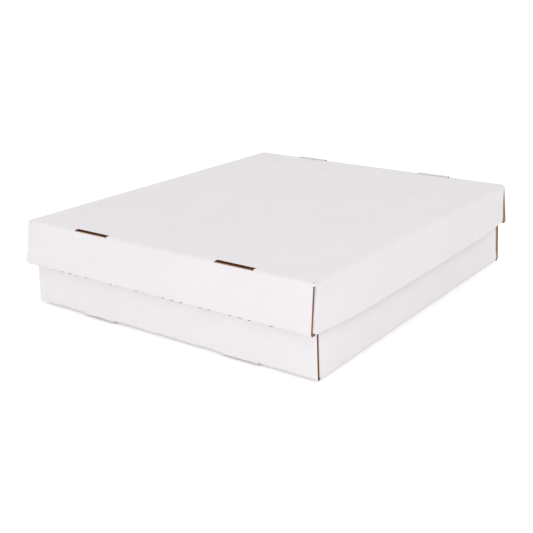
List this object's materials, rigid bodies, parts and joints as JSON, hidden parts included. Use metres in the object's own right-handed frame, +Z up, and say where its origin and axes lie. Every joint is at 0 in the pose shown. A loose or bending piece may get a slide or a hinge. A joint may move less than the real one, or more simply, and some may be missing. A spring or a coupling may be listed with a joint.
{
  "type": "trading card storage box",
  "caption": "Wide, low box of white corrugated board with rolled locking end walls, a lift-off lid and folded dividers that make rows for trading cards.",
  "frame": {"origin": "centre of the tray's underside, on the surface that the box stands on", "axes": "+Z up, +Y along the card rows towards the rear, +X to the right seen from the front"},
  "size_m": [0.4103, 0.4905, 0.1069],
  "materials": {
    "tray_board": "matte white liner outside, kraft liner inside",
    "lid_board": "matte white liner outside, kraft liner inside",
    "divider_board": "matte white liner"
  },
  "bodies": {
    "tray": {"base": "tray_board", "divider_1": "divider_board", "divider_2": "divider_board", "divider_3": "divider_board", "divider_4": "divider_board"},
    "lid": {"lid": "lid_board"}
  },
  "joints": [
    {"name": "lid_lift", "type": "slide", "parent": "tray", "child": "lid", "axis": [0, 0, 1], "range_m": [0, 0.15]}
  ]
}
